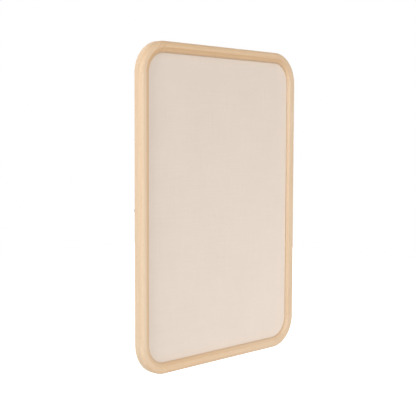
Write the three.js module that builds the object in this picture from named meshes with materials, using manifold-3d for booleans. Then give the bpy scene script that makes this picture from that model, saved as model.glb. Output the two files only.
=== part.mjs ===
// Framed pinboard: a fabric-covered pinning insert held by turn buttons in a rounded wooden
// frame, with a folding ring hanger for each of the two ways to hang it.
// Lengths are in millimetres. +X is right, +Z is up, the front faces -Y and the wall is at Y = 0.
// The origin is on the wall, where the upper hanger's ring bears on its hook.
import * as THREE from 'three';
import { mergeVertices } from 'three/addons/utils/BufferGeometryUtils.js';
import Module from 'manifold-3d';

const wasm = await Module();
wasm.setup();

// Whole board
const BOARD_WIDTH = 500;
const BOARD_HEIGHT = 700;
const CORNER_RADIUS = 70;

// Clearances and the overrun of every cut
const FIT_GAP = 0.3;
const GLUE_LINE = 0.1;
const OVERRUN = 2;

// Frame moulding
const RAIL_WIDTH = 24;
const FRAME_DEPTH = 22;
const OUTER_SHOULDER = 8;
const INNER_SHOULDER = 7;
const BACK_ARRIS = 1.5;
const LIP_WIDTH = 8;

// Loose tenons in the frame's joints
const TENON_LENGTH = 30;
const TENON_WIDTH = 12;
const TENON_THICKNESS = 5;
const TENON_FROM_BACK = 9.5;

// Pinning insert
const FABRIC_THICKNESS = 0.8;
const HEM_WIDTH = 25;
const CORE_THICKNESS = 8;
const PANEL_THICKNESS = 3;
const PANEL_SIDE_GAP = 0.5;

// Turn buttons
const BUTTON_THICKNESS = 1.2;
const BUTTON_HUB_RADIUS = 6.5;
const BUTTON_TIP_RADIUS = 4.5;
const BUTTON_REACH = 20;
const BUTTON_PLACE_SHARE = 0.26;

// Screws of the turn buttons, and the height share at which a pan head's side turns into its top
const BUTTON_SCREW = { shank: 1.5, length: 12, head: 3.2, headHeight: 1.8, tip: 3 };
const HEAD_SIDE_SHARE = 0.5;
const HEAD_CROWN_SHARE = 0.9;

// Ring hangers
const PLATE_THICKNESS = 0.8;
const PLATE_LOBE_RADIUS = 5.5;
const PLATE_SCREW_SPACING = 34;
const PLATE_WAIST = 4;
const PLATE_EDGE_MARGIN = 1;
const EYE_LENGTH = 10;
const WIRE_RADIUS = 0.8;
const RING_HALF_WIDTH = 10.5;
const RING_HEIGHT = 11;
const RING_FOOT_RADIUS = 2.2;
const RING_APEX_RADIUS = 3;

// Screws of the hangers
const HANGER_SCREW = { shank: 1.3, length: 12, head: 2.8, headHeight: 1.6, tip: 2.6 };

// Rubber bumpers
const BUMPER_HEIGHT = 4.8;
const BUMPER_RADIUS = 6;
const BUMPER_FACE_RADIUS = 4.6;
const BUMPER_EDGE = 0.6;

// Counts of facets
const CORNER_STEPS = 12;
const PROFILE_STEPS = 6;
const TURN_STEPS = 12;
const WIRE_STEPS = 48;
const WIRE_SIDES = 8;

// Sizes worked out from the ones above
const LAND_WIDTH = RAIL_WIDTH - LIP_WIDTH;
const LAND_MIDDLE = LAND_WIDTH / 2;
const FRAME_BACK = -(BUMPER_HEIGHT + GLUE_LINE);
const FABRIC_FRONT_DEPTH = PANEL_THICKNESS + 3 * FIT_GAP + 2 * FABRIC_THICKNESS + CORE_THICKNESS;
const REBATE_DEPTH = FABRIC_FRONT_DEPTH + FIT_GAP;
const STRAIGHT_ACROSS = BOARD_WIDTH - 2 * (CORNER_RADIUS + GLUE_LINE);
const STRAIGHT_UPRIGHT = BOARD_HEIGHT - 2 * (CORNER_RADIUS + GLUE_LINE);
const EYE_BORE = WIRE_RADIUS + FIT_GAP;
const EYE_RADIUS = EYE_BORE + PLATE_THICKNESS;
const PLATE_MIDDLE = LAND_WIDTH - PLATE_EDGE_MARGIN - PLATE_LOBE_RADIUS;
const PIVOT_INSET = LAND_WIDTH - PLATE_EDGE_MARGIN - EYE_RADIUS;
const PIVOT_Y = FRAME_BACK + FIT_GAP + EYE_RADIUS;
const HOOK_INSET = PIVOT_INSET - RING_HEIGHT + WIRE_RADIUS;
const BUTTON_SCREW_SEAT = FRAME_BACK + BUTTON_THICKNESS + 2 * FIT_GAP;
const HANGER_SCREW_SEAT = FRAME_BACK + PLATE_THICKNESS + 2 * FIT_GAP;

const QUARTER_TURN = Math.PI / 2;

// Materials
const ASH = new THREE.MeshStandardMaterial({ color: 0xecd0ad, roughness: 0.55, metalness: 0 });
const BEECH = new THREE.MeshStandardMaterial({ color: 0xd9b48a, roughness: 0.7, metalness: 0 });
const LINEN = new THREE.MeshStandardMaterial({ color: 0xe5d7ca, roughness: 0.95, metalness: 0 });
const FIBREBOARD = new THREE.MeshStandardMaterial({ color: 0xb99a76, roughness: 0.95, metalness: 0 });
const HARDBOARD = new THREE.MeshStandardMaterial({ color: 0x8a6442, roughness: 0.8, metalness: 0 });
const ZINC = new THREE.MeshStandardMaterial({ color: 0xc2c4c6, roughness: 0.4, metalness: 0.9 });
const RUBBER = new THREE.MeshStandardMaterial({ color: 0xd8d8d4, roughness: 0.8, metalness: 0 });

// Solids

function solidOf(geometry) {
  const bare = geometry.index ? geometry.toNonIndexed() : geometry.clone();
  bare.deleteAttribute('normal');
  bare.deleteAttribute('uv');
  const merged = mergeVertices(bare);
  return new wasm.Manifold(new wasm.Mesh({
    numProp: 3,
    vertProperties: new Float32Array(merged.attributes.position.array),
    triVerts: new Uint32Array(merged.index.array),
  }));
}

function geometryOf(solid) {
  const mesh = solid.getMesh();
  const geometry = new THREE.BufferGeometry();
  geometry.setAttribute('position', new THREE.BufferAttribute(mesh.vertProperties, 3));
  geometry.setIndex(new THREE.BufferAttribute(mesh.triVerts, 1));
  const flat = geometry.toNonIndexed();
  flat.computeVertexNormals();
  return flat;
}

function cut(geometry, tools) {
  return geometryOf(tools.reduce((solid, tool) => solid.subtract(solidOf(tool)), solidOf(geometry)));
}

function named(name, geometry, material) {
  const mesh = new THREE.Mesh(geometry, material);
  mesh.name = name;
  return mesh;
}

// A closed outline round circles given in turn, like a belt round its pulleys.
// Each circle is { x, y, r }, and the circles go counter-clockwise.
function beltShape(circles) {
  const count = circles.length;
  const leaving = circles.map((from, i) => {
    const to = circles[(i + 1) % count];
    const dx = to.x - from.x;
    const dy = to.y - from.y;
    return Math.atan2(dy, dx) - Math.acos((from.r - to.r) / Math.hypot(dx, dy));
  });
  const shape = new THREE.Shape();
  circles.forEach((circle, i) => {
    const arriving = leaving[(i + count - 1) % count];
    shape.absarc(circle.x, circle.y, circle.r, arriving, leaving[i], false);
  });
  shape.closePath();
  return shape;
}

// A rounded rectangle, the board's outline moved inwards by inset.
function boardShape(inset) {
  const x = BOARD_WIDTH / 2 - CORNER_RADIUS;
  const y = BOARD_HEIGHT / 2 - CORNER_RADIUS;
  const r = CORNER_RADIUS - inset;
  return beltShape([{ x, y: -y, r }, { x, y, r }, { x: -x, y, r }, { x: -x, y: -y, r }]);
}

// A flat piece parallel to the wall: the shape's x and y become X and Z, and its back is at backY.
function sheet(shape, thickness, backY) {
  const options = { depth: thickness, bevelEnabled: false, curveSegments: CORNER_STEPS / 2 };
  const geometry = new THREE.ExtrudeGeometry(shape, options);
  geometry.rotateX(QUARTER_TURN);
  geometry.translate(0, backY, 0);
  return geometry;
}

// A shape that is drawn in depth and inset, drawn out along X and centred there.
function barAlongX(shape, length) {
  const options = { depth: length, bevelEnabled: false, curveSegments: PROFILE_STEPS / 2 };
  const geometry = new THREE.ExtrudeGeometry(shape, options);
  geometry.rotateY(QUARTER_TURN);
  geometry.translate(-length / 2, 0, 0);
  return geometry;
}

function turned(points) {
  return new THREE.LatheGeometry(points.map(([r, y]) => new THREE.Vector2(r, y)), TURN_STEPS);
}

// Frame moulding

// The moulding's section: x is the distance in from the outer edge, y is 0 at the back face
// and falls towards the front. It has a soft shoulder on each side and a rebate behind the lip.
function mouldingShape() {
  const front = -FRAME_DEPTH;
  const shape = new THREE.Shape();
  shape.moveTo(BACK_ARRIS, 0);
  shape.lineTo(LAND_WIDTH, 0);
  shape.lineTo(LAND_WIDTH, -REBATE_DEPTH);
  shape.lineTo(RAIL_WIDTH, -REBATE_DEPTH);
  shape.absarc(RAIL_WIDTH - INNER_SHOULDER, front + INNER_SHOULDER, INNER_SHOULDER, 0, -QUARTER_TURN, true);
  shape.absarc(OUTER_SHOULDER, front + OUTER_SHOULDER, OUTER_SHOULDER, -QUARTER_TURN, -Math.PI, true);
  shape.absarc(BACK_ARRIS, -BACK_ARRIS, BACK_ARRIS, Math.PI, QUARTER_TURN, true);
  shape.closePath();
  return shape;
}

// A straight length of moulding along X, its outer face at Z = 0 and its inner edge below.
function straightMoulding(length) {
  const geometry = barAlongX(mouldingShape(), length);
  geometry.translate(0, FRAME_BACK, 0);
  return geometry;
}

// A quarter ring of the same moulding, about the corner's centre, in the quadrant of +X and +Z.
function cornerMoulding() {
  const profile = mouldingShape().getPoints(PROFILE_STEPS / 2);
  const points = profile.map((p) => new THREE.Vector2(CORNER_RADIUS - p.x, p.y));
  points.push(points[0].clone());
  const ring = new THREE.LatheGeometry(points, 4 * CORNER_STEPS);
  const reach = CORNER_RADIUS + OVERRUN;
  const quadrant = new THREE.BoxGeometry(reach, FRAME_DEPTH + 2 * OVERRUN, reach);
  quadrant.translate(reach / 2, -FRAME_DEPTH / 2, reach / 2);
  const geometry = geometryOf(solidOf(ring).intersect(solidOf(quadrant)));
  geometry.translate(0, FRAME_BACK, 0);
  return geometry;
}

// A loose tenon along X, or with a gap the mortise that it fits, round the moulding's middle.
function tenon(gap = 0) {
  const half = (TENON_WIDTH - TENON_THICKNESS) / 2;
  const ends = [-half, half].map((offset) => (
    { x: LAND_MIDDLE, y: offset - TENON_FROM_BACK, r: TENON_THICKNESS / 2 + gap }
  ));
  const geometry = barAlongX(beltShape(ends), TENON_LENGTH + 2 * gap);
  geometry.translate(0, FRAME_BACK, 0);
  return geometry;
}

// Screws

// A pan head screw along Y with the underside of its head at Y = 0 and its tip towards -Y.
function screw({ shank, length, head, headHeight, tip }) {
  return turned([
    [0, -length],
    [shank, tip - length],
    [shank, 0],
    [head, 0],
    [head, headHeight * HEAD_SIDE_SHARE],
    [(head + shank) / 2, headHeight * HEAD_CROWN_SHARE],
    [0, headHeight],
  ]);
}

// The hole that a screw needs in what it goes through or into.
function screwHole({ shank, length }) {
  const radius = shank + FIT_GAP;
  const geometry = new THREE.CylinderGeometry(radius, radius, length + OVERRUN, TURN_STEPS);
  geometry.translate(0, (OVERRUN - length) / 2, 0);
  return geometry;
}

// Turn buttons

// A flat pear-shaped button, its hub on its screw's axis and its tip towards -Z.
function turnButton() {
  const tipDrop = BUTTON_REACH - BUTTON_TIP_RADIUS;
  const shape = beltShape([
    { x: 0, y: -tipDrop, r: BUTTON_TIP_RADIUS },
    { x: 0, y: 0, r: BUTTON_HUB_RADIUS },
  ]);
  const hole = new THREE.Path();
  hole.absarc(0, 0, BUTTON_SCREW.shank + FIT_GAP, 0, 2 * Math.PI, true);
  shape.holes.push(hole);
  return sheet(shape, BUTTON_THICKNESS, FRAME_BACK + FIT_GAP + BUTTON_THICKNESS);
}

// Ring hangers

// The hanger's parts are placed with Z = 0 at the rail's outer edge and X = 0 at its middle.

// A strip with a screw lobe at each end, a narrow waist, and an eye rolled up from its inner edge.
function hangerPlate() {
  const lobe = PLATE_LOBE_RADIUS;
  const reach = PLATE_SCREW_SPACING / 2;
  const waistTop = PLATE_WAIST - lobe;
  const waistStart = reach - lobe - PLATE_WAIST / 2;
  const shape = new THREE.Shape();
  shape.moveTo(-reach, -lobe);
  shape.absarc(reach, 0, lobe, -QUARTER_TURN, Math.PI, false);
  shape.quadraticCurveTo(reach - lobe, waistTop, waistStart, waistTop);
  shape.lineTo(-waistStart, waistTop);
  shape.quadraticCurveTo(lobe - reach, waistTop, lobe - reach, 0);
  shape.absarc(-reach, 0, lobe, 0, -QUARTER_TURN, false);
  shape.closePath();
  const strip = sheet(shape, PLATE_THICKNESS, FRAME_BACK + FIT_GAP + PLATE_THICKNESS);
  strip.translate(0, 0, -PLATE_MIDDLE);
  const plate = solidOf(strip).add(solidOf(eyeTube(EYE_RADIUS, EYE_LENGTH)));
  return cut(geometryOf(plate), [eyeTube(EYE_BORE, EYE_LENGTH + 2 * OVERRUN), ...hangerScrewHoles()]);
}

function eyeTube(radius, length) {
  const geometry = new THREE.CylinderGeometry(radius, radius, length, TURN_STEPS);
  geometry.rotateZ(QUARTER_TURN);
  geometry.translate(0, PIVOT_Y, -PIVOT_INSET);
  return geometry;
}

const HANGER_SCREW_PLACES = [-PLATE_SCREW_SPACING / 2, PLATE_SCREW_SPACING / 2];

function hangerScrewHoles() {
  return HANGER_SCREW_PLACES.map((x) => (
    screwHole(HANGER_SCREW).translate(x, HANGER_SCREW_SEAT, -PLATE_MIDDLE)
  ));
}

// A curve in the plane of X and Z that follows a flat closed path at an even pace.
class FlatLoop extends THREE.Curve {
  constructor(path) {
    super();
    this.path = path;
  }

  getPoint(t, target = new THREE.Vector3()) {
    const point = this.path.getPointAt(t);
    return target.set(point.x, 0, point.y);
  }
}

// A closed wire ring with rounded corners: its straight foot lies in the eye and its apex is outermost.
function hangerRing() {
  const foot = RING_FOOT_RADIUS;
  const x = RING_HALF_WIDTH - foot;
  const outline = beltShape([
    { x, y: foot, r: foot },
    { x: 0, y: RING_HEIGHT - RING_APEX_RADIUS, r: RING_APEX_RADIUS },
    { x: -x, y: foot, r: foot },
  ]);
  const geometry = new THREE.TubeGeometry(new FlatLoop(outline), WIRE_STEPS, WIRE_RADIUS, WIRE_SIDES, true);
  const ring = geometryOf(solidOf(geometry));
  ring.translate(0, PIVOT_Y, -PIVOT_INSET);
  return ring;
}

// Bumpers

// A round pad along Y, its face on the wall at Y = 0.
function bumper() {
  const slopeStart = -BUMPER_HEIGHT + BUMPER_EDGE;
  return turned([
    [0, -BUMPER_HEIGHT],
    [BUMPER_RADIUS, -BUMPER_HEIGHT],
    [BUMPER_RADIUS, slopeStart],
    [BUMPER_FACE_RADIUS + BUMPER_EDGE, -BUMPER_EDGE],
    [BUMPER_FACE_RADIUS, 0],
    [0, 0],
  ]);
}

// Pinning insert

// The fabric lies over the core's front and edges and turns in behind it as a hem.
function fabricCover() {
  const outerInset = LAND_WIDTH + FIT_GAP;
  const front = FRAME_BACK - FABRIC_FRONT_DEPTH;
  const pocketDepth = CORE_THICKNESS + 2 * FIT_GAP;
  const hemFront = front + FABRIC_THICKNESS + pocketDepth;
  const hemBack = hemFront + FABRIC_THICKNESS;
  const block = sheet(boardShape(outerInset), hemBack - front, hemBack);
  const pocket = sheet(boardShape(outerInset + FABRIC_THICKNESS), pocketDepth, hemFront);
  const cutDepth = FABRIC_THICKNESS + OVERRUN;
  const opening = sheet(boardShape(outerInset + HEM_WIDTH), cutDepth, hemBack + OVERRUN / 2);
  return cut(block, [pocket, opening]);
}

function pinCore() {
  const inset = LAND_WIDTH + 2 * FIT_GAP + FABRIC_THICKNESS;
  const back = FRAME_BACK - FABRIC_FRONT_DEPTH + FABRIC_THICKNESS + FIT_GAP + CORE_THICKNESS;
  return sheet(boardShape(inset), CORE_THICKNESS, back);
}

function backPanel() {
  return sheet(boardShape(LAND_WIDTH + PANEL_SIDE_GAP), PANEL_THICKNESS, FRAME_BACK);
}

// The frame's four sides, each built as the top one and turned about Y into its place.
const ACROSS = { length: STRAIGHT_ACROSS, reach: BOARD_HEIGHT / 2 };
const UPRIGHT = { length: STRAIGHT_UPRIGHT, reach: BOARD_WIDTH / 2 };
const SIDES = [
  { name: 'rail_top', side: 'top', ends: ['left', 'right'], hanger: true, ...ACROSS },
  { name: 'stile_right', side: 'right', ends: ['upper', 'lower'], hanger: false, ...UPRIGHT },
  { name: 'rail_bottom', side: 'bottom', ends: ['right', 'left'], hanger: false, ...ACROSS },
  { name: 'stile_left', side: 'left', ends: ['lower', 'upper'], hanger: true, ...UPRIGHT },
];

// The four corners, each built as the top right one and turned about Y into its place.
const CORNERS = [
  { name: 'top_right', signX: 1, signZ: 1 },
  { name: 'bottom_right', signX: 1, signZ: -1 },
  { name: 'bottom_left', signX: -1, signZ: -1 },
  { name: 'top_left', signX: -1, signZ: 1 },
];

// One side with what is fastened to it. Its outer edge is at Z = 0 and its inner edge below.
function buildSide({ name, side, ends, hanger, length }) {
  const group = new THREE.Group();
  const buttonPlaces = [-1, 1].map((sign) => sign * BUTTON_PLACE_SHARE * length);
  const jointPlaces = [-1, 1].map((sign) => sign * (length + GLUE_LINE) / 2);
  const tools = [
    ...jointPlaces.map((x) => tenon(FIT_GAP).translate(x, 0, 0)),
    ...buttonPlaces.map((x) => screwHole(BUTTON_SCREW).translate(x, BUTTON_SCREW_SEAT, -LAND_MIDDLE)),
    ...(hanger ? hangerScrewHoles() : []),
  ];
  group.add(named(name, cut(straightMoulding(length), tools), ASH));
  ends.forEach((end, i) => {
    const key = named(`tenon_${side}_${end}`, tenon(), BEECH);
    key.position.x = jointPlaces[i];
    const button = named(`turn_button_${side}_${end}`, turnButton(), ZINC);
    button.position.set(buttonPlaces[i], 0, -LAND_MIDDLE);
    const fastener = named(`turn_button_screw_${side}_${end}`, screw(BUTTON_SCREW), ZINC);
    fastener.position.set(buttonPlaces[i], BUTTON_SCREW_SEAT, -LAND_MIDDLE);
    group.add(key, button, fastener);
  });
  if (hanger) {
    group.add(named(`hanger_plate_${side}`, hangerPlate(), ZINC));
    group.add(named(`hanger_ring_${side}`, hangerRing(), ZINC));
    ends.forEach((end, i) => {
      const fastener = named(`hanger_screw_${side}_${end}`, screw(HANGER_SCREW), ZINC);
      fastener.position.set(HANGER_SCREW_PLACES[i], HANGER_SCREW_SEAT, -PLATE_MIDDLE);
      group.add(fastener);
    });
  }
  return group;
}

// One corner piece with its two mortises, and the bumper on its back.
function buildCorner(corner) {
  const group = new THREE.Group();
  const mortises = [
    tenon(FIT_GAP).translate(-GLUE_LINE / 2, 0, CORNER_RADIUS),
    tenon(FIT_GAP).rotateY(QUARTER_TURN).translate(CORNER_RADIUS, 0, -GLUE_LINE / 2),
  ];
  group.add(named(`corner_${corner.name}`, cut(cornerMoulding(), mortises), ASH));
  const pad = named(`bumper_${corner.name}`, bumper(), RUBBER);
  const padReach = (CORNER_RADIUS - LAND_MIDDLE) * Math.SQRT1_2;
  pad.position.set(padReach, 0, padReach);
  group.add(pad);
  return group;
}

const board = new THREE.Group();
board.add(named('fabric_cover', fabricCover(), LINEN));
board.add(named('pin_core', pinCore(), FIBREBOARD));
board.add(named('back_panel', backPanel(), HARDBOARD));
SIDES.forEach((side, quarter) => {
  const group = buildSide(side);
  const turn = quarter * QUARTER_TURN;
  group.rotation.y = turn;
  group.position.set(side.reach * Math.sin(turn), 0, side.reach * Math.cos(turn));
  board.add(group);
});
CORNERS.forEach((corner, quarter) => {
  const group = buildCorner(corner);
  group.rotation.y = quarter * QUARTER_TURN;
  group.position.set(
    corner.signX * (BOARD_WIDTH / 2 - CORNER_RADIUS),
    0,
    corner.signZ * (BOARD_HEIGHT / 2 - CORNER_RADIUS),
  );
  board.add(group);
});
board.position.z = HOOK_INSET - BOARD_HEIGHT / 2;

const pinboard = new THREE.Group();
pinboard.add(board);

export default pinboard;
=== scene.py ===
# Looks of a framed pinboard: fabric over soft fibreboard in a rounded wooden frame, for Blender 4.5.
# Lengths are in metres. +X is right, +Z is up, the front faces -Y and the wall is at Y = 0.
import math
import random

import bmesh
import bpy
from mathutils import Matrix, Vector


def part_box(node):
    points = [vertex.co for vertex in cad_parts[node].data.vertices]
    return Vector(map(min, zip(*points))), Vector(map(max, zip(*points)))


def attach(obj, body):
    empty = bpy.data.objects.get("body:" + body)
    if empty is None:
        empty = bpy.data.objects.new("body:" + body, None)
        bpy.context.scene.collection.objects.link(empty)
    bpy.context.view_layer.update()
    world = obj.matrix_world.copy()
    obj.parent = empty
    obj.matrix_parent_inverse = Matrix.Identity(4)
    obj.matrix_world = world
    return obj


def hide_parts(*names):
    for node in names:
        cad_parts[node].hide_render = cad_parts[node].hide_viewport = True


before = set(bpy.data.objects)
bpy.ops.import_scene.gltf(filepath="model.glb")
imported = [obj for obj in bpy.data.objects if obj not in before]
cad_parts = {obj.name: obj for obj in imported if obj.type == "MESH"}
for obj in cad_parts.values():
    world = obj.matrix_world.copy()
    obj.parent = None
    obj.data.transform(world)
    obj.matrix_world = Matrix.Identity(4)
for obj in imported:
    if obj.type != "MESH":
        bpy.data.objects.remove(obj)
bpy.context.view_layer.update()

MM = 0.001
QUARTER_TURN = math.pi / 2

# Sizes of the construction that the frame doesn't give directly
FIT_GAP = 0.3 * MM
GLUE_LINE = 0.1 * MM
LIP_WIDTH = 8 * MM
REBATE_DEPTH = 13.8 * MM
OUTER_SHOULDER = 8 * MM
INNER_SHOULDER = 7 * MM
BACK_ARRIS = 1.5 * MM
SHARP_ARRIS = 0.35 * MM
TENON_LENGTH = 30 * MM
TENON_WIDTH = 12 * MM
TENON_THICKNESS = 5 * MM
TENON_FROM_BACK = 9.5 * MM
FABRIC_THICKNESS = 0.8 * MM
FABRIC_BEND = 1.6 * MM
HEM_WIDTH = 25 * MM
CORE_THICKNESS = 8 * MM
PANEL_THICKNESS = 3 * MM
PANEL_SIDE_GAP = 0.5 * MM
PANEL_ARRIS = 0.3 * MM
BUTTON_THICKNESS = 1.2 * MM
BUTTON_HUB_RADIUS = 6.5 * MM
BUTTON_TIP_RADIUS = 4.5 * MM
BUTTON_REACH = 20 * MM
BUTTON_PLACE_SHARE = 0.26
BUTTON_SOFT_EDGE = 0.4 * MM
BUTTON_CRISP_EDGE = 0.12 * MM
BUTTON_SCREW = {"shank": 1.5 * MM, "length": 12 * MM, "head": 3.2 * MM, "head_height": 1.8 * MM}
PLATE_THICKNESS = 0.8 * MM
PLATE_LOBE_RADIUS = 5.5 * MM
PLATE_SCREW_SPACING = 34 * MM
PLATE_WAIST = 4 * MM
PLATE_EDGE_MARGIN = 1 * MM
PLATE_SOFT_EDGE = 0.2 * MM
EYE_LENGTH = 10 * MM
EYE_ROLL = math.radians(300)
EYE_THINNING = 0.02 * MM
WIRE_RADIUS = 0.8 * MM
RING_HALF_WIDTH = 10.5 * MM
RING_HEIGHT = 11 * MM
RING_FOOT_RADIUS = 2.2 * MM
RING_APEX_RADIUS = 3 * MM
HANGER_SCREW = {"shank": 1.3 * MM, "length": 12 * MM, "head": 2.8 * MM, "head_height": 1.6 * MM}
BUMPER_RADIUS = 6 * MM
BUMPER_FACE_RADIUS = 4.6 * MM
BUMPER_BACK_EDGE = 0.5 * MM
BUMPER_FACE_EDGE = 0.9 * MM

# Places worked out from the frame
rail_low, rail_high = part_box("rail_top")
corner_low, corner_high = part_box("corner_top_left")
BOARD_LOW = Vector((corner_low.x, rail_low.y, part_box("rail_bottom")[0].z))
BOARD_HIGH = Vector((-corner_low.x, rail_high.y, rail_high.z))
BOARD_WIDTH = BOARD_HIGH.x - BOARD_LOW.x
BOARD_HEIGHT = BOARD_HIGH.z - BOARD_LOW.z
BOARD_MIDDLE_Z = (BOARD_LOW.z + BOARD_HIGH.z) / 2
CORNER_RADIUS = corner_high.x - corner_low.x
RAIL_WIDTH = rail_high.z - rail_low.z
FRAME_DEPTH = rail_high.y - rail_low.y
FRAME_BACK = rail_high.y
FABRIC_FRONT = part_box("fabric_cover")[0].y
BUMPER_HEIGHT = -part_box("bumper_top_left")[0].y
LAND_WIDTH = RAIL_WIDTH - LIP_WIDTH
LAND_MIDDLE = LAND_WIDTH / 2
EYE_BORE = WIRE_RADIUS + FIT_GAP
EYE_RADIUS = EYE_BORE + PLATE_THICKNESS
PLATE_MIDDLE = LAND_WIDTH - PLATE_EDGE_MARGIN - PLATE_LOBE_RADIUS
PIVOT_INSET = LAND_WIDTH - PLATE_EDGE_MARGIN - EYE_RADIUS
PIVOT_Y = FRAME_BACK + FIT_GAP + EYE_RADIUS
BUTTON_SCREW_SEAT = FRAME_BACK + BUTTON_THICKNESS + 2 * FIT_GAP
HANGER_SCREW_SEAT = FRAME_BACK + PLATE_THICKNESS + 2 * FIT_GAP

# Camera, as fitted to the photograph's outlines
CAMERA_PLACE = Vector((-1.52976, -1.43172, -0.20257))
CAMERA_TURN = (math.radians(85.851), math.radians(-0.189), math.radians(-46.399))
CAMERA_LENS_MM = 80.7
CAMERA_SENSOR_MM = 36

# Light and floor
WORLD_LEVEL = 0.3
FLOOR_DROP = 0.75
FLOOR_SIZE = 14.0
FLOOR_WHITE = 0.8
FLOOR_GLOW = 0.8

# Pitches and bands of the materials
RING_PITCH = 2.3 * MM
RING_WANDER = 5 * MM
# The crown band, a painted highlight across the flat front of the moulding
PAINTED_HIGHLIGHT_START = 4 * MM
PAINTED_HIGHLIGHT_FULL = 7 * MM
PAINTED_HIGHLIGHT_FALL = 11 * MM
PAINTED_HIGHLIGHT_END = 15 * MM
# The inner shoulder band, painted shade where the moulding turns down to the fabric
SHOULDER_SHADE_START = 12.5 * MM
SHOULDER_SHADE_FULL = 15.5 * MM
SHOULDER_SHADE_FALL = 21 * MM
WARP_PITCH = 1.05 * MM
WEFT_PITCH = 1.15 * MM
THREAD_WANDER = 0.9 * MM
SCREEN_PITCH = 1.3 * MM

# How finely shapes are divided
SMOOTH_LIMIT = math.radians(38)
OUTLINE_STEPS = 16
SHOULDER_STEPS = 14
CORNER_STEPS = 40
EYE_STEPS = 40
RING_BEND_STEPS = 18
WIRE_STEPS = 16
FLAT_SUPPORT = 0.5 * MM
EDGE_TURNS = (0.4, 0.8, 1.2, QUARTER_TURN)
BUMPER_BACK_TURNS = (0.5, 1.0, 1.45)
BUMPER_FACE_TURNS = (0.1, 0.4, 0.7, 1.0, 1.3, QUARTER_TURN)

# Screws
THREAD_PITCH = 1.1 * MM
THREAD_STEPS = 8
THREAD_DEPTH_SHARE = 0.3
SCREW_TIP = 2.8 * MM
SCREW_NECK = 1.2 * MM
SCREW_HEAD_EDGE = 0.12 * MM
SCREW_HEAD_SIDE_SHARE = 0.42
SCREW_CROWN_STEPS = 9


# Camera, light and floor

def make_camera():
    data = bpy.data.cameras.new("camera")
    data.lens = CAMERA_LENS_MM
    data.sensor_width = CAMERA_SENSOR_MM
    camera = bpy.data.objects.new("camera", data)
    camera.location = CAMERA_PLACE
    camera.rotation_euler = CAMERA_TURN
    bpy.context.scene.collection.objects.link(camera)
    bpy.context.scene.camera = camera


def make_sun(name, azimuth, elevation, level, spread):
    """A soft lamp without a place. Azimuth 0 is straight in front, and 90 is to the right."""
    data = bpy.data.lights.new(name, "SUN")
    data.energy = level * math.pi
    data.angle = math.radians(spread)
    lamp = bpy.data.objects.new(name, data)
    a = math.radians(azimuth)
    e = math.radians(elevation)
    towards_lamp = Vector((math.sin(a) * math.cos(e), -math.cos(a) * math.cos(e), math.sin(e)))
    lamp.rotation_euler = towards_lamp.to_track_quat("Z", "Y").to_euler()
    bpy.context.scene.collection.objects.link(lamp)


def make_soft_box(name, place, size, power):
    """A square lamp at a real place that lights the middle of the board."""
    data = bpy.data.lights.new(name, "AREA")
    data.energy = power
    data.size = size
    lamp = bpy.data.objects.new(name, data)
    lamp.location = place
    aim = Vector((0, FABRIC_FRONT, BOARD_MIDDLE_Z)) - lamp.location
    lamp.rotation_euler = aim.to_track_quat("-Z", "Y").to_euler()
    bpy.context.scene.collection.objects.link(lamp)


def add_node(tree, kind, inputs, output=0, **settings):
    """Adds a node, links or sets its inputs, and returns one of its outputs."""
    node = tree.nodes.new(kind)
    for name, value in settings.items():
        setattr(node, name, value)
    for socket, value in inputs.items():
        if isinstance(value, bpy.types.NodeSocket):
            tree.links.new(value, node.inputs[socket])
        else:
            node.inputs[socket].default_value = value
    return node.outputs[output]


def seen_directly(tree):
    """1 for rays that show the background itself, in view, in gloss or through glass, and 0 for light."""
    path = tree.nodes.new("ShaderNodeLightPath")
    seen = path.outputs["Is Camera Ray"]
    for ray in ("Is Glossy Ray", "Is Transmission Ray"):
        seen = add_node(tree, "ShaderNodeMath", {0: seen, 1: path.outputs[ray]}, operation="MAXIMUM")
    return seen


def make_world():
    """White where it is seen, and dimmer as a light."""
    world = bpy.data.worlds.new("white")
    world.use_nodes = True
    tree = world.node_tree
    levels = {"Value": seen_directly(tree), "To Min": WORLD_LEVEL, "To Max": 1}
    strength = add_node(tree, "ShaderNodeMapRange", levels)
    background = tree.nodes["Background"]
    background.inputs["Color"].default_value = (1, 1, 1, 1)
    tree.links.new(strength, background.inputs["Strength"])
    bpy.context.scene.world = world


def make_floor():
    """A pale floor that keeps the board's shadow. Its glow, where it is seen, makes it white."""
    half = FLOOR_SIZE / 2
    z = BOARD_LOW.z - FLOOR_DROP
    corners = [(-half, -half, z), (half, -half, z), (half, half, z), (-half, half, z)]
    floor = mesh_piece("floor", corners, [(0, 1, 2, 3)])
    material = bpy.data.materials.new("floor_white")
    material.use_nodes = True
    tree = material.node_tree
    tree.nodes.clear()
    white = (FLOOR_WHITE, FLOOR_WHITE, FLOOR_WHITE, 1)
    diffuse = add_node(tree, "ShaderNodeBsdfDiffuse", {"Color": white})
    glow = add_node(tree, "ShaderNodeMath", {0: seen_directly(tree), 1: FLOOR_GLOW}, operation="MULTIPLY")
    glow = add_node(tree, "ShaderNodeEmission", {"Strength": glow})
    both = add_node(tree, "ShaderNodeAddShader", {0: diffuse, 1: glow})
    surface = tree.nodes.new("ShaderNodeOutputMaterial")
    tree.links.new(both, surface.inputs["Surface"])
    floor.data.materials.append(material)


# Node materials

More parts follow.
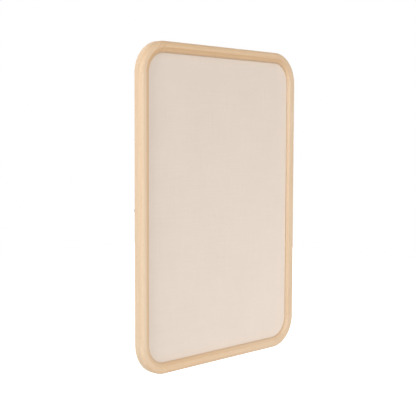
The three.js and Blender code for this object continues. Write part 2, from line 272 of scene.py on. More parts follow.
class Shader:
    """One procedural material. Its methods add a node each and return the node's output."""

    def __init__(self, name, **constants):
        self.material = bpy.data.materials.new(name)
        self.material.use_nodes = True
        self.tree = self.material.node_tree
        self.surface = self.tree.nodes["Principled BSDF"]
        for socket, value in constants.items():
            self.surface.inputs[socket.replace("_", " ")].default_value = value

    def add(self, kind, inputs, output=0, **settings):
        return add_node(self.tree, kind, inputs, output, **settings)

    def math(self, operation, *values):
        return self.add("ShaderNodeMath", dict(enumerate(values)), operation=operation)

    def noise(self, place, rates, detail=2.0, roughness=0.5):
        """Noise that changes at a rate of its own along each axis, in cycles per metre."""
        inputs = {
            "Vector": self.add("ShaderNodeVectorMath", {0: place, 1: rates}, operation="MULTIPLY"),
            "Scale": 1,
            "Detail": detail,
            "Roughness": roughness,
        }
        return self.add("ShaderNodeTexNoise", inputs)

    def between(self, value, low, high, to_low=0.0, to_high=1.0):
        """A smooth step of the value from low to high."""
        inputs = {"Value": value, "From Min": low, "From Max": high, "To Min": to_low, "To Max": to_high}
        return self.add("ShaderNodeMapRange", inputs, interpolation_type="SMOOTHSTEP")

    def blend(self, share, a, b):
        """Colour a with a share of colour b."""
        return self.add("ShaderNodeMix", {0: share, 6: a, 7: b}, output=2, data_type="RGBA")

    def split(self, place):
        node = self.tree.nodes.new("ShaderNodeSeparateXYZ")
        self.tree.links.new(place, node.inputs[0])
        return node.outputs

    def join(self, x, y, z):
        return self.add("ShaderNodeCombineXYZ", {0: x, 1: y, 2: z})

    def place(self):
        """The point in the part's own frame, in metres."""
        return self.tree.nodes.new("ShaderNodeTexCoord").outputs["Object"]

    def attribute(self, name, output="Fac"):
        """What the mesh says at each point under a name."""
        return self.add("ShaderNodeAttribute", {}, output=output, attribute_name=name)

    def finish(self, colour, roughness, height, depth, strength):
        """Links what varies over the surface. depth is the bump's height in metres."""
        inputs = self.surface.inputs
        self.tree.links.new(colour, inputs["Base Color"])
        self.tree.links.new(roughness, inputs["Roughness"])
        bump = self.add("ShaderNodeBump", {"Strength": strength, "Distance": depth, "Height": height})
        self.tree.links.new(bump, inputs["Normal"])
        return self.material


def rgb(*parts):
    """A colour socket's value from sRGB parts of 255."""
    linear = [((c / 255 + 0.055) / 1.055) ** 2.4 if c > 10 else c / 255 / 12.92 for c in parts]
    return (*linear, 1)


def ash_material():
    """Pale ash: growth rings round a distant pith, pores in the early wood, fibres and a warmer tone."""
    s = Shader("ash_oiled", Specular_IOR_Level=0.45)
    place = s.attribute("timber", output="Vector")
    tone = s.attribute("tone")
    _, y, z = s.split(place)
    # Growth rings, each year with late wood of its own strength
    drift = s.math("SUBTRACT", s.noise(place, (3, 18, 18), detail=1), 0.5)
    waver = s.math("SUBTRACT", s.noise(place, (14, 90, 90)), 0.5)
    radius = s.math("SQRT", s.math("MULTIPLY_ADD", y, y, s.math("MULTIPLY", z, z)))
    bent = s.math("MULTIPLY_ADD", drift, RING_WANDER, radius)
    bent = s.math("MULTIPLY_ADD", waver, RING_PITCH, bent)
    rings = s.math("DIVIDE", bent, RING_PITCH)
    phase = s.math("FRACT", rings)
    year = s.add("ShaderNodeTexWhiteNoise", {"W": s.math("FLOOR", rings)}, noise_dimensions="1D")
    late = s.math("MULTIPLY", s.between(phase, 0.3, 0.88), s.between(phase, 0.9, 1.0, 1, 0))
    late = s.math("MULTIPLY", late, s.math("MULTIPLY_ADD", year, 0.7, 0.3))
    # Fibres, long streaks, and open pores in the early wood
    fibres = s.noise(place, (26, 1100, 1100), detail=3, roughness=0.6)
    streaks = s.noise(place, (1.6, 190, 190))
    pores = s.between(s.noise(place, (120, 3600, 3600), detail=1), 0.6, 0.7)
    pores = s.math("MULTIPLY", pores, s.math("SUBTRACT", 1, late))
    # Uprights paler and rails more orange by the tone mark: partly the timber's own colour, partly painted
    # sheen of the upright grain
    early_colour = s.blend(tone, rgb(239, 214, 184), rgb(238, 202, 161))
    late_colour = s.blend(tone, rgb(227, 196, 160), rgb(222, 179, 133))
    share = s.math("MULTIPLY", late, 0.55)
    share = s.math("MULTIPLY_ADD", s.math("SUBTRACT", fibres, 0.5), 0.9, share)
    share = s.math("MULTIPLY_ADD", s.math("SUBTRACT", streaks, 0.41), 1.9, share)
    colour = s.blend(share, early_colour, late_colour)
    colour = s.blend(s.math("MULTIPLY", pores, 0.35), colour, rgb(176, 138, 100))
    # A painted highlight on the flat front, painted shade along the inner shoulder, and a darkening of each
    # length
    inset = s.attribute("inset")
    # Crown: a painted highlight, paler timber across the flat front, mostly on the left stile
    crown = s.between(inset, PAINTED_HIGHLIGHT_START, PAINTED_HIGHLIGHT_FULL)
    crown = s.math("MULTIPLY", crown, s.between(inset, PAINTED_HIGHLIGHT_END, PAINTED_HIGHLIGHT_FALL))
    crown = s.math("MULTIPLY", crown, s.attribute("crown"))
    colour = s.blend(crown, colour, rgb(247, 221, 191))
    # Painted shade: a darker orange-brown band on the inner shoulder where it turns down to the fabric
    shoulder_shade = s.between(inset, SHOULDER_SHADE_START, SHOULDER_SHADE_FULL)
    shoulder_shade = s.math("MULTIPLY", shoulder_shade, s.between(inset, RAIL_WIDTH, SHOULDER_SHADE_FALL))
    shoulder_shade = s.math("MULTIPLY", shoulder_shade, s.attribute("crease_darkening"))
    colour = s.blend(shoulder_shade, colour, rgb(210, 162, 110))
    # Darker by each point's shade mark, which grows from the upper left towards the lower right
    colour = s.blend(s.attribute("shade"), colour, (0, 0, 0, 1))
    roughness = s.math("MULTIPLY_ADD", fibres, 0.18, 0.42)
    roughness = s.math("MULTIPLY_ADD", pores, 0.15, roughness)
    height = s.math("MULTIPLY_ADD", pores, -0.8, s.math("MULTIPLY", fibres, 0.6))
    height = s.math("MULTIPLY_ADD", late, 0.35, height)
    return s.finish(colour, roughness, height, depth=0.07 * MM, strength=0.6)


def beech_material():
    """Tenon stock: pink brown, with short dark flecks along the grain."""
    s = Shader("beech_raw", Specular_IOR_Level=0.3)
    place = s.place()
    fibres = s.noise(place, (40, 900, 900), detail=3)
    flecks = s.between(s.noise(place, (160, 1500, 1500), detail=0), 0.6, 0.7)
    colour = s.blend(fibres, rgb(222, 184, 142), rgb(200, 156, 114))
    colour = s.blend(s.math("MULTIPLY", flecks, 0.5), colour, rgb(160, 112, 76))
    roughness = s.math("MULTIPLY_ADD", fibres, 0.2, 0.6)
    return s.finish(colour, roughness, fibres, depth=0.08 * MM, strength=0.5)


def thread(s, across, along, other_pitch, pitch, phase, seed):
    """One set of threads of a plain weave: its height, and the tone of each thread."""
    count = s.math("DIVIDE", across, pitch)
    index = s.math("FLOOR", count)
    middle = s.math("SUBTRACT", s.math("FRACT", count), 0.5)
    crown = s.math("COSINE", s.math("MULTIPLY", middle, math.pi))
    turns = s.math("SUBTRACT", s.math("DIVIDE", along, other_pitch), 0.5)
    turns = s.math("ADD", s.math("ADD", turns, index), phase)
    swing = s.math("COSINE", s.math("MULTIPLY", turns, math.pi))
    spot = s.join(s.math("MULTIPLY", index, 7.31), s.math("MULTIPLY", along, 16), seed)
    own = s.noise(spot, (1, 1, 1))
    height = s.math("MULTIPLY", crown, s.math("MULTIPLY_ADD", swing, 0.4, 0.6))
    height = s.math("MULTIPLY", height, s.math("MULTIPLY_ADD", own, 0.5, 0.75))
    return height, own


def linen_material():
    """Plain woven natural fabric with uneven threads."""
    s = Shader("linen_natural", Specular_IOR_Level=0.15, Sheen_Weight=0.12, Sheen_Roughness=0.5)
    place = s.place()
    x, _, z = s.split(place)
    wander = s.math("SUBTRACT", s.noise(place, (45, 45, 45)), 0.5)
    warp_x = s.math("MULTIPLY_ADD", wander, THREAD_WANDER, x)
    weft_z = s.math("MULTIPLY_ADD", wander, -THREAD_WANDER, z)
    warp_height, warp_tone = thread(s, warp_x, weft_z, WEFT_PITCH, WARP_PITCH, 0, 3.7)
    weft_height, weft_tone = thread(s, weft_z, warp_x, WARP_PITCH, WEFT_PITCH, 1, 11.3)
    height = s.math("MAXIMUM", warp_height, weft_height)
    warp_over = s.between(s.math("SUBTRACT", warp_height, weft_height), -0.1, 0.1)
    tone = s.add("ShaderNodeMix", {0: warp_over, 2: weft_tone, 3: warp_tone}, data_type="FLOAT")
    cloud = s.noise(place, (9, 9, 9), detail=3)
    share = s.math("MULTIPLY_ADD", s.math("SUBTRACT", tone, 0.5), 1.5, 0.5)
    share = s.math("MULTIPLY_ADD", s.math("SUBTRACT", cloud, 0.5), 0.5, share)
    colour = s.blend(share, rgb(244, 231, 218), rgb(234, 219, 205))
    # Painted shade: darker where the weave is low, between the threads
    colour = s.blend(s.between(height, 0.55, 0.1, 0, 0.45), colour, rgb(205, 188, 171))
    fuzz = s.noise(place, (2400, 2400, 2400))
    relief = s.math("MULTIPLY_ADD", fuzz, 0.25, height)
    roughness = s.math("MULTIPLY_ADD", fuzz, 0.1, 0.85)
    return s.finish(colour, roughness, relief, depth=0.22 * MM, strength=0.7)


def fibreboard_material():
    """Soft fibreboard: matted wood fibres."""
    s = Shader("fibreboard_soft", Specular_IOR_Level=0.2)
    place = s.place()
    mat = s.noise(place, (500, 500, 500), detail=5, roughness=0.7)
    lumps = s.noise(place, (90, 90, 90), detail=3)
    colour = s.blend(mat, rgb(150, 118, 84), rgb(206, 176, 138))
    colour = s.blend(s.between(lumps, 0.55, 0.7, 0, 0.4), colour, rgb(120, 90, 62))
    roughness = s.math("MULTIPLY_ADD", mat, 0.1, 0.88)
    return s.finish(colour, roughness, mat, depth=0.4 * MM, strength=0.8)


def hardboard_material():
    """Hardboard with the print of the wire screen that it was pressed on."""
    s = Shader("hardboard_brown", Specular_IOR_Level=0.35)
    place = s.place()
    x, _, z = s.split(place)
    rows = [s.math("SINE", s.math("MULTIPLY", line, 2 * math.pi / SCREEN_PITCH)) for line in (x, z)]
    screen = s.math("MULTIPLY_ADD", s.math("MULTIPLY", rows[0], rows[1]), 0.5, 0.5)
    fibres = s.noise(place, (900, 900, 260), detail=4, roughness=0.7)
    clouds = s.noise(place, (9, 9, 9), detail=3)
    flecks = s.between(s.noise(place, (1500, 1500, 700), detail=1), 0.62, 0.75)
    colour = s.blend(fibres, rgb(118, 82, 52), rgb(158, 116, 78))
    colour = s.blend(s.between(clouds, 0.3, 0.7, 0, 0.3), colour, rgb(104, 70, 44))
    colour = s.blend(s.math("MULTIPLY", flecks, 0.35), colour, rgb(184, 144, 102))
    # Painted shade: darker in the hollows of the screen's print
    colour = s.blend(s.between(screen, 0.5, 0.0, 0, 0.35), colour, rgb(84, 56, 36))
    roughness = s.math("MULTIPLY_ADD", fibres, 0.2, 0.62)
    height = s.math("MULTIPLY_ADD", fibres, 0.4, screen)
    return s.finish(colour, roughness, height, depth=0.12 * MM, strength=0.8)


def steel_material(name, bright, dull, spangle_rate):
    """Zinc plated steel with a faint mottle, fine rolling lines and rubbed spots."""
    s = Shader(name, Metallic=1.0)
    place = s.place()
    mottle = s.noise(place, (spangle_rate,) * 3, detail=3)
    lines = s.noise(place, (300, 300, 9000))
    rubbed = s.between(s.noise(place, (180, 180, 180), detail=4), 0.5, 0.7)
    colour = s.blend(s.between(mottle, 0.3, 0.7), dull, bright)
    roughness = s.math("MULTIPLY_ADD", mottle, 0.22, 0.26)
    roughness = s.math("MULTIPLY_ADD", rubbed, 0.12, roughness)
    height = s.math("MULTIPLY_ADD", mottle, 0.6, lines)
    return s.finish(colour, roughness, height, depth=0.01 * MM, strength=0.4)


def rubber_material():
    """Pale grey rubber, matt, a little clouded."""
    s = Shader("rubber_grey", Specular_IOR_Level=0.4)
    place = s.place()
    cloud = s.noise(place, (220, 220, 220), detail=3)
    grain = s.noise(place, (5200, 5200, 5200))
    colour = s.blend(cloud, rgb(206, 206, 201), rgb(224, 224, 219))
    roughness = s.math("MULTIPLY_ADD", grain, 0.2, 0.5)
    return s.finish(colour, roughness, grain, depth=0.02 * MM, strength=0.5)


# Meshes

def mesh_piece(name, points, faces):
    mesh = bpy.data.meshes.new(name)
    mesh.from_pydata([tuple(p) for p in points], [], faces)
    piece = bpy.data.objects.new(name, mesh)
    bpy.context.scene.collection.objects.link(piece)
    return piece


def loft(name, sections, ring=False):
    """A closed skin over closed loops of points. A ring also joins the last loop to the first."""
    count = len(sections[0])
    points = [p for section in sections for p in section]
    faces = []
    spans = len(sections) if ring else len(sections) - 1
    for i in range(spans):
        a = i * count
        b = (i + 1) % len(sections) * count
        for k in range(count):
            n = (k + 1) % count
            faces.append((a + k, a + n, b + n, b + k))
    if not ring:
        last = (len(sections) - 1) * count
        faces.append(tuple(reversed(range(count))))
        faces.append(tuple(range(last, last + count)))
    return mesh_piece(name, points, faces)


def turned(name, profile, steps, radius_at=None):
    """A body of revolution about Y. The profile's (radius, y) points start and end on the axis."""
    points = []
    rings = []
    for radius, y in profile:
        if radius == 0:
            rings.append([len(points)])
            points.append((0, y, 0))
            continue
        rings.append(list(range(len(points), len(points) + steps)))
        for k in range(steps):
            angle = 2 * math.pi * k / steps
            r = radius_at(radius, y, angle) if radius_at else radius
            points.append((r * math.cos(angle), y, r * math.sin(angle)))
    faces = []
    for lower, upper in zip(rings, rings[1:]):
        for k in range(steps):
            n = (k + 1) % steps
            quad = [
                lower[k % len(lower)],
                lower[n % len(lower)],
                upper[n % len(upper)],
                upper[k % len(upper)],
            ]
            faces.append(tuple(dict.fromkeys(quad)))
    return mesh_piece(name, points, faces)


def outward(piece):
    """Turns every face outwards."""
    shape = bmesh.new()
    shape.from_mesh(piece.data)
    bmesh.ops.recalc_face_normals(shape, faces=shape.faces)
    shape.to_mesh(piece.data)
    shape.free()
    return piece


def combine(piece, tools, operation):
    """Adds the closed tools to a piece or cuts them out of it. The tools are used up."""
    for tool in tools:
        change = piece.modifiers.new(operation, "BOOLEAN")
        change.operation = operation
        change.solver = "EXACT"
        change.object = outward(tool)
    outward(piece)
    bpy.context.view_layer.update()
    evaluated = piece.evaluated_get(bpy.context.evaluated_depsgraph_get())
    mesh = bpy.data.meshes.new_from_object(evaluated)
    piece.modifiers.clear()
    piece.data = mesh
    for tool in tools:
        bpy.data.objects.remove(tool)
    return piece


def moved(piece, matrix):
    """Moves the mesh itself, so that the piece's object stays at the origin."""
    piece.data.transform(matrix)
    return piece


def dress(piece, material, node, body="board"):
    """Smooths, paints and mounts a finished piece, which stands for one CAD node."""
    outward(piece)
    piece.data.materials.clear()
    piece.data.materials.append(material)
    piece.data.polygons.foreach_set("use_smooth", [True] * len(piece.data.polygons))
    piece.data.set_sharp_from_angle(angle=SMOOTH_LIMIT)
    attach(piece, body)
    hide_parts(node)
    return piece


def arc(centre, radius, start, end, steps):
    """Points on a circle from one angle to another, both ends included."""
    cx, cy = centre
    turns = [start + (end - start) * k / steps for k in range(steps + 1)]
    return [(cx + radius * math.cos(t), cy + radius * math.sin(t)) for t in turns]


def belt(circles, steps):
    """A closed outline round circles (x, y, radius) in turn, counter-clockwise, like a belt on pulleys."""
    leaving = []
    for i, (x, y, r) in enumerate(circles):
        to_x, to_y, to_r = circles[(i + 1) % len(circles)]
        reach = math.hypot(to_x - x, to_y - y)
        leaving.append(math.atan2(to_y - y, to_x - x) - math.acos((r - to_r) / reach))
    outline = []
    for i, (x, y, r) in enumerate(circles):
        start = leaving[i - 1]
        sweep = (leaving[i] - start) % (2 * math.pi)
        outline += arc((x, y), r, start, start + sweep, steps)
    return outline


def board_section(inset, y):
    """The board's outline moved inwards by inset, as a loop of points at a depth of y."""
    x = BOARD_WIDTH / 2 - CORNER_RADIUS
    z = BOARD_HEIGHT / 2 - CORNER_RADIUS
    r = CORNER_RADIUS - inset
    outline = belt([(x, -z, r), (x, z, r), (-x, z, r), (-x, -z, r)], OUTLINE_STEPS)
    return [(px, y, pz + BOARD_MIDDLE_Z) for px, pz in outline]


# Frame

def moulding_section():
    """The moulding's outline as (inset from the outer edge, depth from the back face)."""
    edge = SHARP_ARRIS
    front = FRAME_DEPTH
    section = arc((BACK_ARRIS, BACK_ARRIS), BACK_ARRIS, math.pi, 3 * QUARTER_TURN, 5)
    section += arc((LAND_WIDTH - edge, edge), edge, -QUARTER_TURN, 0, 2)
    section.append((LAND_WIDTH, REBATE_DEPTH))
    section += arc((RAIL_WIDTH - edge, REBATE_DEPTH + edge), edge, -QUARTER_TURN, 0, 2)
    inner = (RAIL_WIDTH - INNER_SHOULDER, front - INNER_SHOULDER)
    section += arc(inner, INNER_SHOULDER, 0, QUARTER_TURN, SHOULDER_STEPS)
    section.append((inner[0] - FLAT_SUPPORT, front))
    outer = (OUTER_SHOULDER, front - OUTER_SHOULDER)
    section.append((outer[0] + FLAT_SUPPORT, front))
    section += arc(outer, OUTER_SHOULDER, QUARTER_TURN, math.pi, SHOULDER_STEPS)
    section.append((0, outer[1] - FLAT_SUPPORT))
    return section


def mortise():
    """What a tenon along X needs, at the middle of the moulding's land."""
    half = (TENON_WIDTH - TENON_THICKNESS) / 2
    radius = TENON_THICKNESS / 2 + FIT_GAP
    y = FRAME_BACK - TENON_FROM_BACK
    outline = belt([(-LAND_MIDDLE, y - half, radius), (-LAND_MIDDLE, y + half, radius)], 10)
    reach = TENON_LENGTH / 2 + FIT_GAP
    return loft("tool", [[(x, py, pz) for pz, py in outline] for x in (-reach, reach)])


def drill(radius, start, end, x, y, inset):
    """The tool for a round hole along Y, from start to end about a point given by x, y and inset."""
    profile = [(0, start), (radius, start), (radius, end), (0, end)]
    return moved(turned("tool", profile, 24), Matrix.Translation((x, y, -inset)))


def mark_points(piece, name, value_at):
    """Writes a number for each point into a piece's mesh."""
    values = [value_at(vertex.co) for vertex in piece.data.vertices]
    piece.data.attributes.new(name, "FLOAT", "POINT").data.foreach_set("value", values)


def place_in_tree(piece, along, seed):
    """Gives each point its place in the tree that the timber came from, with x up the trunk."""
    dice = random.Random(seed)
    spin = Matrix.Rotation(dice.uniform(0, 2 * math.pi), 3, "X")
    start = Vector((dice.uniform(0, 3), dice.uniform(0.05, 0.085), dice.uniform(-0.03, 0.03)))
    to_trunk = spin @ Matrix.Rotation(along, 3, "Y")
    spots = [c for vertex in piece.data.vertices for c in to_trunk @ vertex.co + start]
    piece.data.attributes.new("timber", "FLOAT_VECTOR", "POINT").data.foreach_set("vector", spots)


def build_member(name, length, holes):
    """A straight length of moulding along X, its outer edge at Z = 0 and its inner edge below."""
    section = moulding_section()
    ends = [-length / 2, length / 2]
    loops = [[(x, FRAME_BACK - depth, -inset) for inset, depth in section] for x in ends]
    return combine(loft(name, loops), holes, "DIFFERENCE")


def build_corner(name):
    """A quarter turn of the moulding about Y, in the quadrant of +X and +Z."""
    section = moulding_section()
    loops = []
    for k in range(CORNER_STEPS + 1):
        turn = QUARTER_TURN * k / CORNER_STEPS
        loop = []
        for inset, depth in section:
            radius = CORNER_RADIUS - inset
            loop.append((radius * math.cos(turn), FRAME_BACK - depth, radius * math.sin(turn)))
        loops.append(loop)
    at_top = Matrix.Translation((-GLUE_LINE / 2, 0, CORNER_RADIUS))
    at_side = Matrix.Translation((CORNER_RADIUS, 0, -GLUE_LINE / 2)) @ Matrix.Rotation(QUARTER_TURN, 4, "Y")
    holes = [moved(mortise(), at_top), moved(mortise(), at_side)]
    return combine(loft(name, loops), holes, "DIFFERENCE")


# Screws, turn buttons, hangers and bumpers

def build_screw(name, shank, length, head, head_height):
    """A pan head screw along Y with the underside of its head at Y = 0, a thread and a cross recess."""

    def radius_at(radius, y, angle):
        if y > -SCREW_NECK or radius > shank:
            return radius
        turn = (y / THREAD_PITCH + angle / (2 * math.pi)) % 1
        ridge = max(0, 1 - abs(turn - 0.5) * 4)
        return radius * (1 - THREAD_DEPTH_SHARE * (1 - ridge))

    rows = int(length / THREAD_PITCH * THREAD_STEPS)
    profile = [(0, -length)]
    for k in range(1, rows + 1):
        y = -length + length * k / rows
        profile.append((shank * min(1, (y + length) / SCREW_TIP), y))
    side = SCREW_HEAD_SIDE_SHARE
    crown = head - 1.4 * SCREW_HEAD_EDGE
    profile += [(head - SCREW_HEAD_EDGE, 0), (head, SCREW_HEAD_EDGE), (head, head_height * side)]
    for k in range(1, SCREW_CROWN_STEPS):
        t = QUARTER_TURN * k / SCREW_CROWN_STEPS
        profile.append((crown * math.cos(t) ** 0.7, head_height * (side + (1 - side) * math.sin(t))))
    profile.append((0, head_height))
    piece = outward(turned(name, profile, 32, radius_at))
    return combine(piece, [cross_recess(head, head_height)], "DIFFERENCE")


def cross_recess(head, head_height):
    """A tapered cross that is cut into a screw's head."""
    loops = []
    for share, y in ((0.22, head_height * 0.1), (0.5, head_height * 0.62), (0.66, head_height * 1.3)):
        reach = head * share
        half = head * (0.08 + 0.07 * share)
        corner = [(reach, -half), (reach, half), (half, half)]
        loop = []
        for quarter in range(4):
            c = math.cos(quarter * QUARTER_TURN)
            n = math.sin(quarter * QUARTER_TURN)
            loop += [(px * c - pz * n, y, px * n + pz * c) for px, pz in corner]
        loops.append(loop)
    return loft("tool", loops)


def build_button(name):
    """A flat pear-shaped turn button, its hub on its screw's axis and its tip towards -Z."""
    tip_drop = BUTTON_REACH - BUTTON_TIP_RADIUS
    outline = belt([(0, -tip_drop, BUTTON_TIP_RADIUS), (0, 0, BUTTON_HUB_RADIUS)], 30)
    hole = BUTTON_SCREW["shank"] + FIT_GAP
    under = FRAME_BACK + FIT_GAP
    over = under + BUTTON_THICKNESS
    soft = BUTTON_SOFT_EDGE
    crisp = BUTTON_CRISP_EDGE
    bore = [(crisp, over), (0, over - crisp), (0, under + crisp), (crisp, under)]
    lip = [(-crisp, under), (0, under + crisp), (0, over - soft)]
    lip += [(-soft + soft * math.cos(t), over - soft + soft * math.sin(t)) for t in EDGE_TURNS]
    loops = []
    for px, pz in outline:
        reach = math.hypot(px, pz)
        direction = Vector((px / reach, 0, pz / reach))
        loop = [direction * (hole + step) + Vector((0, y, 0)) for step, y in bore]
        loop += [direction * (reach + step) + Vector((0, y, 0)) for step, y in lip]
        loops.append(loop)
    return loft(name, loops, ring=True)


def plate_outline():
    """A strip with a screw lobe at each end, and a narrow waist between them, as (x, z) points."""
    lobe = PLATE_LOBE_RADIUS
    reach = PLATE_SCREW_SPACING / 2
    waist_top = PLATE_WAIST - lobe
    waist_start = reach - lobe - PLATE_WAIST / 2

    def bend(start, middle, end):
        shares = [k / 8 for k in range(1, 8)]
        return [tuple(
            (1 - t) ** 2 * a + 2 * t * (1 - t) * b + t * t * c for a, b, c in zip(start, middle, end)
        ) for t in shares]

    right = arc((reach, 0), lobe, -QUARTER_TURN, math.pi, 30)
    right += bend((reach - lobe, 0), (reach - lobe, waist_top), (waist_start, waist_top))
    right.append((waist_start, waist_top))
    left = [(-x, z) for x, z in reversed(right)]
    return right + left


def shrunk(outline, inset):
    """A closed outline with each point moved inwards."""
    result = []
    for i, (x, z) in enumerate(outline):
        before = Vector(outline[i - 1])
        after = Vector(outline[(i + 1) % len(outline)])
        along = (after - before).normalized()
        result.append((x - along.y * inset, z + along.x * inset))
    return result


def build_plate(name):
    """The strip with its eye, rolled up from its inner edge round the ring's foot."""
    outline = plate_outline()
    under = FRAME_BACK + FIT_GAP
    over = under + PLATE_THICKNESS
    soft = PLATE_SOFT_EDGE
    levels = [
        (soft / 2, under),
        (0, under + soft / 2),
        (0, over - soft),
        (soft * 0.3, over - soft * 0.3),
        (soft, over),
    ]
    loops = [[(x, y, z - PLATE_MIDDLE) for x, z in shrunk(outline, inset)] for inset, y in levels]
    strip = combine(loft(name, loops), [rolled_eye()], "UNION")
    radius = HANGER_SCREW["shank"] + FIT_GAP
    spots = [side * PLATE_SCREW_SPACING / 2 for side in (-1, 1)]
    holes = [drill(radius, under - 2 * MM, over + 2 * MM, x, 0, PLATE_MIDDLE) for x in spots]
    return combine(strip, holes, "DIFFERENCE")


def rolled_eye():
    """Sheet metal curled round the pivot. Its tail ends inside the strip, a little thinner than it."""
    wide = EYE_RADIUS - EYE_THINNING
    narrow = EYE_BORE + EYE_THINNING
    waist_edge = PLATE_MIDDLE + PLATE_LOBE_RADIUS - PLATE_WAIST
    tail = (PIVOT_INSET - waist_edge) / 2
    turns = [-QUARTER_TURN + EYE_ROLL * k / EYE_STEPS for k in range(EYE_STEPS + 1)]

    def spot(radius, angle):
        return (-PIVOT_INSET - radius * math.cos(angle), PIVOT_Y + radius * math.sin(angle))

    loop = [(-PIVOT_INSET + tail, PIVOT_Y - wide)]
    loop += [spot(wide, turn) for turn in turns] + [spot(narrow, turn) for turn in reversed(turns)]
    loop.append((-PIVOT_INSET + tail, PIVOT_Y - narrow))
    half = EYE_LENGTH / 2
    return loft("tool", [[(x, y, z) for z, y in loop] for x in (-half, half)])


def build_ring(name):
    """A closed wire ring in the plane of X and Z: its foot lies in the eye and its apex is outermost."""
    foot = RING_FOOT_RADIUS
    x = RING_HALF_WIDTH - foot
    corners = [(x, foot, foot), (0, RING_HEIGHT - RING_APEX_RADIUS, RING_APEX_RADIUS), (-x, foot, foot)]
    path = belt(corners, RING_BEND_STEPS)
    loops = []
    for i, (px, pz) in enumerate(path):
        along = (Vector(path[(i + 1) % len(path)]) - Vector(path[i - 1])).normalized()
        loop = []
        for k in range(WIRE_STEPS):
            t = 2 * math.pi * k / WIRE_STEPS
            out = WIRE_RADIUS * math.cos(t)
            y = PIVOT_Y + WIRE_RADIUS * math.sin(t)
            loop.append((px + along.y * out, y, pz - along.x * out - PIVOT_INSET))
        loops.append(loop)
    return loft(name, loops, ring=True)


def build_bumper(name):
    """A round pad along Y, with a soft edge, its face on the wall."""
    back = -BUMPER_HEIGHT
    edge = BUMPER_BACK_EDGE
    face = BUMPER_FACE_EDGE
    slope = (BUMPER_RADIUS - BUMPER_FACE_RADIUS) / BUMPER_HEIGHT
    rim = BUMPER_FACE_RADIUS + slope * face
    profile = [(0, back), (BUMPER_RADIUS - edge, back)]
    for t in BUMPER_BACK_TURNS:
        profile.append((BUMPER_RADIUS - edge + edge * math.sin(t), back + edge - edge * math.cos(t)))
    for t in BUMPER_FACE_TURNS:
        profile.append((rim - face * (1 - math.cos(t)), -face + face * math.sin(t)))
    profile.append((0, 0))
    return turned(name, profile, 40)


# Pinning insert

def build_fabric(name):
    """The fabric from its front face round the core's edges to the hem behind it, and back inside."""
    outer = LAND_WIDTH + FIT_GAP
    thick = FABRIC_THICKNESS
    front = FABRIC_FRONT
    hem_back = front + 2 * thick + CORE_THICKNESS + 2 * FIT_GAP
    bend = FABRIC_BEND
    turns = [QUARTER_TURN * k / 6 for k in range(7)]

    def front_bend(radius, t):
        return (outer + bend - radius * math.sin(t), front + bend - radius * math.cos(t))

    def back_bend(radius, t):
        return (outer + bend - radius * math.cos(t), hem_back - bend + radius * math.sin(t))

    path = [front_bend(bend, t) for t in turns]
    path += [back_bend(bend, t) for t in turns]
    edge = outer + HEM_WIDTH
    path += [(edge - thick / 3, hem_back), (edge, hem_back - thick / 3)]
    path += [(edge, hem_back - 2 * thick / 3), (edge - thick / 3, hem_back - thick)]
    path += [back_bend(bend - thick, t) for t in reversed(turns)]
    path += [front_bend(bend - thick, t) for t in reversed(turns)]
    return loft(name, [board_section(inset, y) for inset, y in path])


def build_panel(name):
    """The hardboard with eased edges."""
    side = LAND_WIDTH + PANEL_SIDE_GAP
    front = FRAME_BACK - PANEL_THICKNESS
    ease = PANEL_ARRIS
    path = [(side + ease, front), (side, front + ease), (side, FRAME_BACK - ease), (side + ease, FRAME_BACK)]
    return loft(name, [board_section(inset, y) for inset, y in path])


# Assembly. The pairs of each mark (tone, shade, the painted shoulder shade and the painted crown highlight)
# are a length's start and end, going clockwise as seen from the front. A corner piece goes from the end of
# the length before it to the start of the next.

ACROSS = {"length": BOARD_WIDTH - 2 * (CORNER_RADIUS + GLUE_LINE), "reach": BOARD_HEIGHT / 2}
UPRIGHT = {"length": BOARD_HEIGHT - 2 * (CORNER_RADIUS + GLUE_LINE), "reach": BOARD_WIDTH / 2}
PAINTED_AND_TIMBER_MARKS = ("tone", "shade", "crease_darkening", "crown")
SIDES = [
    {
        "name": "rail_top", "side": "top", "ends": ("left", "right"), "hanger": True, **ACROSS,
        "tone": (0.85, 0.7), "shade": (0.045, 0.08), "crease_darkening": (0.4, 0.4), "crown": (0.0, 0.0),
    },
    {
        "name": "stile_right", "side": "right", "ends": ("upper", "lower"), "hanger": False, **UPRIGHT,
        "tone": (0.12, 0.2), "shade": (0.07, 0.125), "crease_darkening": (0.0, 0.0), "crown": (0.0, 0.0),
    },
    {
        "name": "rail_bottom", "side": "bottom", "ends": ("right", "left"), "hanger": False, **ACROSS,
        "tone": (0.3, 0.72), "shade": (0.105, 0.065), "crease_darkening": (0.1, 0.1), "crown": (0.0, 0.0),
    },
    {
        "name": "stile_left", "side": "left", "ends": ("lower", "upper"), "hanger": True, **UPRIGHT,
        "tone": (0.03, 0.25), "shade": (0.05, 0.015), "crease_darkening": (0.45, 0.55), "crown": (0.15, 0.5),
    },
]
CORNERS = [
    {"name": "top_right", "sign_x": 1, "sign_z": 1},
    {"name": "bottom_right", "sign_x": 1, "sign_z": -1},
    {"name": "bottom_left", "sign_x": -1, "sign_z": -1},
    {"name": "top_left", "sign_x": -1, "sign_z": 1},
]


def random_turn(seed):
    """A screw stops at any angle."""
    return Matrix.Rotation(random.Random(seed).uniform(0, QUARTER_TURN), 4, "Y")


